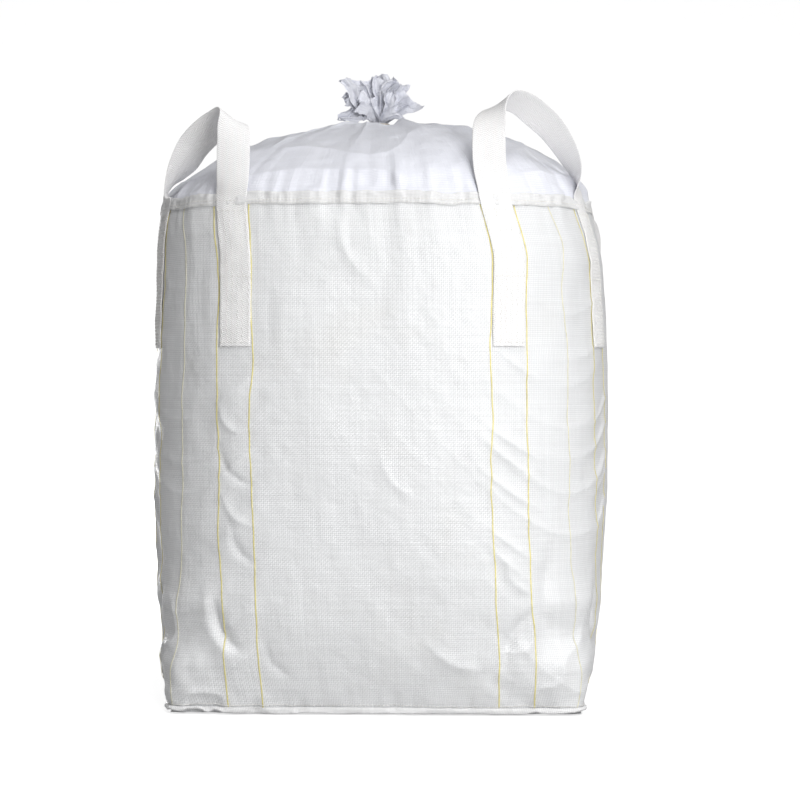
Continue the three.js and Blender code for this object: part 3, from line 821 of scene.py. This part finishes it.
def respace(values, spacing):
    walk = np.concatenate([[0], np.cumsum(np.linalg.norm(np.diff(values[:, :3], axis=0), axis=1))])
    at = np.linspace(0, walk[-1], int(walk[-1] / spacing) + 1)
    return np.stack([np.interp(at, walk, values[:, k]) for k in range(values.shape[1])], -1)


def make_loop(name):
    turn, first, second = LOOPS[name]
    standing = name in STANDING
    profile = flat_profile(WEB_WIDTH * 1.02, WEB_THICK, 14)
    offsets = np.unique(np.round(profile[:, 0], 6))
    c1, s1 = leg_rows(*first, offsets)
    c2, s2 = leg_rows(*second, offsets)
    c2, s2 = c2[::-1], s2[::-1]
    if standing:
        arch = through(STANDING[name])
    else:
        arch = np.concatenate(hanging_path(name, math.radians(turn)), 1)
    # The free band, softened where it leaves its legs.
    ways1, ways2 = unit(s1[:, -1] - s1[:, 0]), unit(s2[:, -1] - s2[:, 0])
    tail = 14
    free = np.concatenate([
        np.concatenate([c1[-tail:], ways1[-tail:]], 1), arch,
        np.concatenate([c2[:tail], ways2[:tail]], 1),
    ])
    free = respace(free, 0.003)
    width = 5 if standing else 4
    held = np.minimum(np.arange(len(free)), np.arange(len(free))[::-1])
    mix = smoothstep(held, 4, 12)[:, None]
    free = free * (1 - mix) + soften(free, width) * mix
    centres = np.concatenate([c1[:-tail], free[:, :3], c2[tail:]])
    ways = np.concatenate([ways1[:-tail], free[:, 3:], ways2[tail:]])
    tangents = unit(soften(unit(np.gradient(centres, axis=0)), 2))
    ways = unit(ways - tangents * (ways * tangents).sum(1)[:, None])
    facing = 1 if name == "front_right" else -1
    normals = facing * np.cross(ways, tangents)

    # Each row's curve across the band, in its own directions: laid on the cloth on a leg, and
    # easing to flat above it.
    def local(rows, section):
        d = section - centres[rows][:, None]
        return np.stack([(d * v[rows][:, None]).sum(2) for v in (ways, normals, tangents)], -1)

    n1, n2 = len(c1) - tail, len(c2) - tail
    curve = np.zeros((len(centres), len(offsets), 3))
    flat = np.stack([offsets, 0 * offsets, 0 * offsets], -1)
    head, foot = np.arange(n1), np.arange(len(centres) - n2, len(centres))
    curve[head] = local(head, s1[:n1])
    curve[foot] = local(foot, s2[tail:])
    count = len(centres) - n1 - n2
    walk = 0.003 * np.arange(count)
    ease1 = smoothstep(walk, 0.03, 0.11)[:, None, None]
    ease2 = smoothstep(walk[::-1], 0.03, 0.11)[:, None, None]
    middle = flat + (curve[n1 - 1] - flat) * (1 - ease1) + (curve[len(centres) - n2] - flat) * (1 - ease2)
    curve[n1:n1 + count] = middle
    index = np.searchsorted(offsets, np.round(profile[:, 0], 6))
    shape = curve[:, index]
    points = (
        centres[:, None] + ways[:, None] * shape[..., 0:1]
        + normals[:, None] * (shape[..., 1:2] + profile[None, :, 1:2])
        + tangents[:, None] * shape[..., 2:3]
    ).reshape(-1, 3)
    columns = len(profile)
    length = np.concatenate([[0], np.cumsum(np.linalg.norm(np.diff(centres, axis=0), axis=1))])
    uv = np.stack([np.tile(profile[:, 0], len(centres)), np.repeat(length, columns)], -1)
    gap = np.full(len(centres), 0.0)
    gap[n1:n1 + count] = np.minimum(smoothstep(walk, 0.0, 0.08), smoothstep(walk[::-1], 0.0, 0.08))
    gap = np.repeat(gap, columns)
    normal_at = np.repeat(normals, columns, 0)
    across = np.tile(profile[:, 0], len(centres))
    cup = 0.0030 * (np.abs(across) / (WEB_WIDTH / 2)) ** 2 * noise(points, (0.10, 0.10, 0.10), 72)
    ripple = 0.0007 * noise(points, (0.012, 0.012, 0.02), 73) * (1 - 0.7 * gap)
    points = points + normal_at * (cup * gap + ripple)[:, None]
    legs = [f"sewn_leg_{FACES[f]}_{'a' if s < 0 else 'b'}" for f, s in (first, second)]

    def piece(label, low, high, nodes):
        rows = high - low
        quads = grid_faces(rows, columns, wrap_columns=True)
        last = (rows - 1) * columns
        caps = [np.arange(columns)[None, ::-1], (np.arange(columns) + last)[None]]
        span = slice(low * columns, high * columns)
        obj = make_object(label, points[span], [quads, *caps], WEBBING, uv[span])
        face_out(obj)
        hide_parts(*nodes)
        return obj

    if standing:
        band = piece(f"lifting_webbing_{name}", 0, len(centres), [f"loop_{name}", *legs])
    else:
        # A hanging loop lies beside its legs, so they are pieces of their own that stay put.
        top, foot = n1 + 2, len(centres) - n2 - 2
        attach(piece(f"webbing_{legs[0]}", 0, top + 1, legs[:1]), "bag")
        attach(piece(f"webbing_{legs[1]}", foot - 1, len(centres), legs[1:]), "bag")
        band = piece(f"lifting_webbing_{name}", top, foot, [f"loop_{name}"])
    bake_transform(band)
    return band


def face_out(obj):
    """Turns every face of a closed mesh outwards."""
    import bmesh
    bm = bmesh.new()
    bm.from_mesh(obj.data)
    bmesh.ops.recalc_face_normals(bm, faces=bm.faces)
    bm.to_mesh(obj.data)
    bm.free()


def make_leg_stitches():
    """Rows of lock stitches down each sewn leg, with bars across its foot, middle and head."""
    on_web = LEG_STANDOFF + WEB_THICK / 2
    for face, name in enumerate(FACES):
        for side, half in ((-1, "a"), (1, "b")):
            parts = []
            for offset in (-0.029, -0.017, -0.0058, 0.0058, 0.017, 0.029):
                z = np.arange(LEG_BOTTOM + 0.006, RIM - 0.030, 0.0075)
                x = side * LEG_CENTRE + offset + 0.0011 * np.where(np.arange(len(z)) % 2, 1, -1)
                probe = np.stack([np.full(len(z), 3.0 * face + side), np.zeros(len(z)), z], -1)
                x = x + 0.003 * noise(probe, (1, 1, 0.14), 71) + pulled(face, side, z)
                top = z + 0.0056
                a, normal = on_body(face_angle(x, z, face), z, on_web + 0.0003)
                b, _ = on_body(face_angle(x, top, face), top, on_web + 0.0003)
                parts.append(stitch_mesh(a, b, normal, 0.00062))
            for height in (LEG_BOTTOM + 0.010, LEG_BOTTOM + 0.150, RIM - 0.036):
                xs = side * LEG_CENTRE + np.arange(-0.029, 0.028, 0.006)
                z = np.full(len(xs), height)
                xs = xs + pulled(face, side, z)
                a, normal = on_body(face_angle(xs, z, face), z, on_web + 0.0004)
                b, _ = on_body(face_angle(xs + 0.0046, z, face), z, on_web + 0.0004)
                parts.append(stitch_mesh(a, b, normal, 0.00066))
            points, faces = join_parts(parts)
            obj = make_object(f"leg_stitching_{name}_{half}", points, faces, THREAD)
            place_piece(obj, "bag", "webbing")


# ---- The skirt, its neck and its tuft -----------------------------------------------------

def dome_height(share, angle):
    """Its shoulder is softer on the left, where the top is less full."""
    soft = ((1 - np.cos(angle)) / 2) ** 2
    crown = DOME_RISE * (1 - share ** (2.6 - 0.6 * soft)) ** (0.62 + 0.1 * soft)
    return RIM + crown - 0.016 * np.exp(-((share * RIM_HALF) ** 2) / 0.07**2)


def pleat(angle, count, seed, sharp=0.75):
    """Uneven folds round an axis, from -1 to 1: about count of them."""
    probe = np.stack([np.cos(angle), np.sin(angle), np.zeros(len(angle))], -1)
    phase = count * angle + 2.2 * noise(probe, 0.45, seed) + 1.3 * noise(probe, 0.16, seed + 1)
    wave = np.sin(phase)
    return np.sign(wave) * np.abs(wave) ** sharp * (0.65 + 0.35 * noise(probe, 0.2, seed + 2))


def make_skirt():
    columns = 900
    angle = np.linspace(0, 2 * math.pi, columns + 1)
    shares = np.concatenate([
        [1.0, 0.999, 0.997, 0.994, 0.99],
        np.linspace(0.985, 0.10, 150),
        np.linspace(0.095, 0.052, 14),
    ])
    rows = []
    for share in shares:
        n = 2 + share**1.5
        c, s = np.abs(np.cos(angle)), np.abs(np.sin(angle))
        r = (share * RIM_HALF - 0.001) * (c**n + s**n) ** (-1 / n)
        p = np.stack([r * np.cos(angle), r * np.sin(angle), dome_height(share, angle)], -1)
        # The edge follows the body cloth it is sewn to.
        edge = body_base(angle, np.full(len(angle), RIM))
        edge = settle(edge + body_normal(edge) * (body_relief(edge) + 0.0012)[:, None]) - edge
        edge[:, 2] = 0
        rows.append(p + edge * float(smoothstep(np.array(share), 0.88, 1.0)))
    for depth in (0.004, 0.012):
        rows.insert(0, rows[0] - [0, 0, depth])
    grid = np.stack(rows)
    down = np.gradient(grid, axis=0)
    round_ = np.gradient(grid, axis=1)
    round_[:, 0] = round_[:, -1] = (grid[:, 1] - grid[:, -2]) / 2
    normal = unit(np.cross(round_, down) * -1)
    normal *= np.sign(normal[..., 2:3] + normal[..., 0:1] * 0 + 1e-9)
    flat = grid.reshape(-1, 3)
    shares = np.concatenate([[1.0, 1.0], shares])
    share = np.repeat(shares, columns + 1)
    turn = np.tile(angle, len(shares))
    radius = np.linalg.norm(flat[:, :2], axis=1)
    ray = np.stack([np.cos(turn) * 0.30, np.sin(turn) * 0.30, radius * 0.35], -1)
    inward = 1 - smoothstep(share, 0.12, 0.95)
    out = 0.0100 * smoothstep(share, 0.03, 0.35) * (1 - 0.5 * share) * noise(ray, (0.055, 0.055, 0.12), 81)
    out += 0.0115 * inward * (creases(ray, (0.045, 0.045, 0.10), 82) - 0.4) * smoothstep(share, 0.05, 0.25)
    out += 0.0065 * np.exp(-((1 - share) / 0.14)) * noise(ray, (0.014, 0.014, 0.3), 83)
    out += 0.0055 * (creases(flat, (0.13, 0.13, 0.06), 84) - 0.4)
    out += 0.0018 * noise(flat, (0.03, 0.03, 0.03), 85)
    gather = (1 - smoothstep(share, 0.05, 0.34)) ** 1.5
    out += gather * np.minimum(0.0065, radius * 0.16) * pleat(turn, 26, 86)
    out *= smoothstep(1 - share, 0.0, 0.02)
    points = flat + normal.reshape(-1, 3) * out[:, None]
    points = np.concatenate([points, *neck_rows(angle)])
    rows = len(points) // (columns + 1)
    s = angle / (2 * math.pi) * FLAT_PERIMETER
    walk = np.linspace(0, 0.62, rows)
    uv = np.stack(np.meshgrid(s, walk, indexing="xy"), -1).reshape(-1, 2)
    obj = make_object("skirt_cloth", points, grid_faces(rows, columns + 1), SKIRT, uv)
    weld(obj)
    return place_piece(obj, "bag", "skirt_cloth", "top_skirt")


def neck_rows(angle):
    """The cloth turning up out of the dome and through the tie, in tight folds."""
    rows = []
    start = RIM_HALF * 0.052
    z0 = dome_height(0.052, angle)
    for k in range(1, 13):
        t = k / 12
        radius = start + (NECK_RADIUS * 0.80 - start) * min(1, t * 1.6) + 0.0035 * max(0, t - 0.75)
        z = z0 + (TIE_HIGH + 0.002 - z0) * t
        r = radius * (1 + 0.17 * pleat(angle, 26, 86) * (1 - 0.35 * t))
        rows.append(np.stack([r * np.cos(angle), r * np.sin(angle), z + 0 * angle], -1))
    return rows


# The lobes of the crumpled mouth above the tie: where the tip is from the middle of the tie
# (x, y, z), the way across the tip, its width there, folds across it, their depth, how much the
# lobe is cupped, and how long it is to the side that is cut short.
LOBES = [
    ((-0.040, -0.006, 0.120), (1.0, 0.25, 0.28), 0.124, 4.5, 0.0110, 0.014, 0.90),
    ((0.072, -0.006, 0.092), (0.62, 0.20, -0.70), 0.108, 3.0, 0.0120, 0.022, 0.86),
    ((0.036, 0.020, 0.114), (0.9, 0.4, -0.20), 0.090, 3.0, 0.0105, -0.014, 0.85),
    ((0.014, -0.024, 0.078), (1.0, -0.3, 0.2), 0.068, 2.5, 0.0095, 0.012, 0.80),
    ((-0.100, -0.018, 0.024), (0.15, 0.65, 0.75), 0.060, 3.0, 0.0075, 0.010, 0.90),
    ((-0.086, -0.012, 0.076), (0.35, -0.3, -0.85), 0.064, 2.5, 0.0090, -0.012, 0.80),
    ((-0.062, -0.028, 0.058), (0.45, -0.2, -0.80), 0.060, 2.0, 0.0085, 0.012, 0.85),
    ((0.066, -0.020, 0.024), (0.2, -0.5, 0.8), 0.046, 2.0, 0.0060, 0.008, 0.75),
    ((-0.012, 0.042, 0.104), (1.0, -0.1, 0.1), 0.104, 4.0, 0.0100, -0.016, 0.85),
    ((0.062, 0.032, 0.056), (-0.4, 0.8, 0.3), 0.060, 2.5, 0.0085, 0.012, 0.80),
    ((-0.062, 0.034, 0.054), (0.4, 0.8, -0.3), 0.060, 2.5, 0.0085, -0.012, 0.80),
]


def make_lobe(index, root_z):
    tip, across, width, folds, depth, cup, short = LOBES[index]
    tip, across = np.array(tip), unit(np.array(across, float))
    rows, columns = ((60, 150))
    v, u = np.meshgrid(np.linspace(0, 1, rows), np.linspace(-1, 1, columns), indexing="ij")
    v, u = v.ravel(), u.ravel()
    heading = unit(tip)
    across = unit(across - heading * (across @ heading))
    out = np.cross(heading, across)
    root = np.array([0.35 * tip[0], 0.35 * tip[1], 0.0])
    root = root / max(np.linalg.norm(root) / 0.010, 1.0)
    # The middle line leaves the tie upwards and bends towards the tip.
    lift = np.array([0, 0, 0.45 * np.linalg.norm(tip)])
    t = v * (1 - (1 - short) * (0.5 + 0.5 * np.sin(2.2 * u + index)))
    line = (
        root * (1 - t[:, None]) ** 2
        + 2 * ((root + lift) * (1 - t[:, None]) * t[:, None])
        + tip * t[:, None] ** 2
    )
    opened = 0.11 + 0.89 * smoothstep(v, 0.0, 0.92) ** 0.85
    half = width / 2 * opened
    probe = np.stack([u * 1.3, v * 0.5, np.full(len(u), 7.0 * index)], -1)
    phase = folds * math.pi * u + 2.0 * noise(probe, 0.55, 91) + index
    fold = np.sin(phase) + 0.35 * np.sin(2.3 * phase + 1.0)
    swell = depth * (0.35 + 0.65 * v)
    p = line + across * (half * u * (1 - 0.10 * v * u**2))[:, None]
    p += out * (fold * swell + cup * (1 - u**2) * v)[:, None]
    p += across * (0.45 * depth * np.sin(2 * phase) * opened)[:, None]
    shift = np.array([3.1, 1.7, 0.9]) * index
    drift = np.stack([noise(p + shift, 0.038, seed) for seed in (101, 102, 103)], -1)
    sharp = creases(p + shift, 0.026, 107) - 0.4
    fine = np.stack([noise(p + shift, 0.010, seed) for seed in (104, 105, 106)], -1)
    amount = smoothstep(v, 0.05, 0.45)[:, None]
    p += (0.0105 * drift + 0.0016 * fine) * amount + out * (0.0065 * sharp)[:, None] * amount
    # It stays clear of the dome when it flops.
    p[:, 2] = np.maximum(p[:, 2], 0.26 * np.hypot(p[:, 0], p[:, 1]) - 0.010) + root_z
    uv = np.stack([u * width * 0.9, v * np.linalg.norm(tip)], -1)
    return p, grid_faces(rows, columns), uv


def make_tuft():
    root_z = TIE_HIGH - 0.006
    points, faces, uvs, start = [], [], [], 0
    for index in range(len(LOBES)):
        p, f, uv = make_lobe(index, root_z)
        points.append(p)
        faces.append(f + start)
        uvs.append(uv)
        start += len(p)
    points, uv = np.concatenate(points), np.concatenate(uvs)
    points[:, 2] = np.minimum(points[:, 2], 1.452)
    obj = make_object("neck_tuft_cloth", points, np.concatenate(faces), SKIRT, uv)
    return place_piece(obj, "tuft", "skirt_cloth", "neck_tuft")


def make_tie():
    """Three and a bit turns of cord wound round the neck."""
    turns, steps, sides = 3.4, 260, 10
    t = np.linspace(0, 1, steps)
    angle = t * turns * 2 * math.pi + 0.6
    z = TIE_LOW + 0.003 + (TIE_HIGH - TIE_LOW - 0.006) * np.clip(t * 1.15, 0, 1)
    radius = NECK_RADIUS + 0.0008 + 0.0009 * np.sin(angle * 3.1)
    centres = np.stack([radius * np.cos(angle), radius * np.sin(angle), z], -1)
    outs = np.stack([np.cos(angle), np.sin(angle), np.zeros(steps)], -1)
    tangents = unit(np.gradient(centres, axis=0))
    wides = unit(np.cross(tangents, outs))
    turn = np.linspace(0, 2 * math.pi, sides, endpoint=False)
    profile = 0.0028 * np.stack([np.cos(turn), np.sin(turn)], -1)
    points, faces, uv = sweep(centres, wides, -np.cross(tangents, wides), profile)
    obj = make_object("neck_cord", points, faces, CORD, uv)
    return place_piece(obj, "bag", "tie_cord", "neck_tie")


# ---- Stage --------------------------------------------------------------------------------

AMBIENT = 0.24      # the sky's strength on the bag; to the camera it is plain white
FLOOR_GLOW = 0.72   # added to the floor to the camera only, so that it doesn't light the bag
FLOOR_HALF, WALL_PLACE, WALL_BEND = 14.0, 3.0, 2.5


def make_camera():
    """Level camera 5 m off and 715 mm up, a little to the right of straight on."""
    camera = bpy.data.objects.new("camera", bpy.data.cameras.new("camera"))
    bpy.context.scene.collection.objects.link(camera)
    azimuth = math.radians(3.0)
    distance = 5.0
    camera.location = (distance * math.sin(azimuth), -distance * math.cos(azimuth), 0.715)
    yaw = azimuth - math.radians(0.57)
    camera.rotation_euler = (math.pi / 2, 0, yaw)
    camera.data.lens = 95.1
    camera.data.sensor_width = 36
    camera.data.shift_y = -0.02125
    camera.data.clip_end = 60
    bpy.context.scene.camera = camera


def add_area(name, place, target, size, watts):
    light = bpy.data.lights.new(name, "AREA")
    light.shape = "RECTANGLE"
    light.size, light.size_y = size
    light.energy = watts
    obj = bpy.data.objects.new(name, light)
    obj.location = place
    obj.rotation_euler = (Vector(target) - Vector(place)).to_track_quat("-Z", "Y").to_euler()
    bpy.context.scene.collection.objects.link(obj)
    return obj


def sweep_up(half, back, bend, steps=24):
    """A floor that curves up into a wall behind the bag."""
    turn = np.linspace(0, math.pi / 2, steps)
    y = np.concatenate([[-half], back + bend * np.sin(turn), [back + bend]])
    z = np.concatenate([[0], bend * (1 - np.cos(turn)), [half]]) - 0.0005
    left = np.stack([np.full(len(y), -half), y, z], -1)
    right = left * [-1, 1, 1]
    points = np.stack([left, right], 1).reshape(-1, 3)
    return points, grid_faces(len(y), 2)


def make_stage():
    scene = bpy.context.scene
    scene.view_settings.view_transform = "Standard"
    world = bpy.data.worlds.new("studio")
    world.use_nodes = True
    scene.world = world
    tree = world.node_tree
    back = tree.nodes["Background"]
    path = tree.nodes.new("ShaderNodeLightPath")
    mix = tree.nodes.new("ShaderNodeMapRange")
    mix.inputs["To Min"].default_value = AMBIENT
    mix.inputs["To Max"].default_value = 1.0
    tree.links.new(path.outputs["Is Camera Ray"], mix.inputs["Value"])
    tree.links.new(mix.outputs[0], back.inputs["Strength"])
    back.inputs["Color"].default_value = (1, 1, 1, 1)
    floor_material = bpy.data.materials.new("studio_floor")
    floor_material.use_nodes = True
    shader = floor_material.node_tree.nodes["Principled BSDF"]
    shader.inputs["Base Color"].default_value = (0.5, 0.5, 0.5, 1)
    shader.inputs["Roughness"].default_value = 0.9
    shader.inputs["Emission Color"].default_value = (1, 1, 1, 1)
    seen = floor_material.node_tree.nodes.new("ShaderNodeMapRange")
    seen.inputs["To Min"].default_value = 0.0
    seen.inputs["To Max"].default_value = FLOOR_GLOW
    ray = floor_material.node_tree.nodes.new("ShaderNodeLightPath")
    floor_material.node_tree.links.new(ray.outputs["Is Camera Ray"], seen.inputs["Value"])
    floor_material.node_tree.links.new(seen.outputs[0], shader.inputs["Emission Strength"])
    floor = make_object("studio_floor", *sweep_up(FLOOR_HALF, WALL_PLACE, WALL_BEND), floor_material)
    add_area("key", (0.95, -2.5, 1.15), (0.10, -0.5, 0.76), (0.9, 0.9), 33)
    add_area("behind", (-1.6, 3.8, 0.9), (0, 0.3, 0.6), (2.0, 1.4), 70)
    sun = bpy.data.objects.new("sky", bpy.data.lights.new("sky", "SUN"))
    sun.data.energy = 1.55
    sun.data.angle = math.radians(50)
    sun.rotation_euler = Vector((-0.30, 0.38, -0.88)).to_track_quat("-Z", "Y").to_euler()
    bpy.context.scene.collection.objects.link(sun)


make_camera()
make_stage()
body = make_body()
base = make_base()
make_yarns()
make_hem()
make_base_fin()
make_seam_stitches()
for loop_name in LOOPS:
    make_loop(loop_name)
make_leg_stitches()
skirt = make_skirt()
tuft = make_tuft()
make_tie()
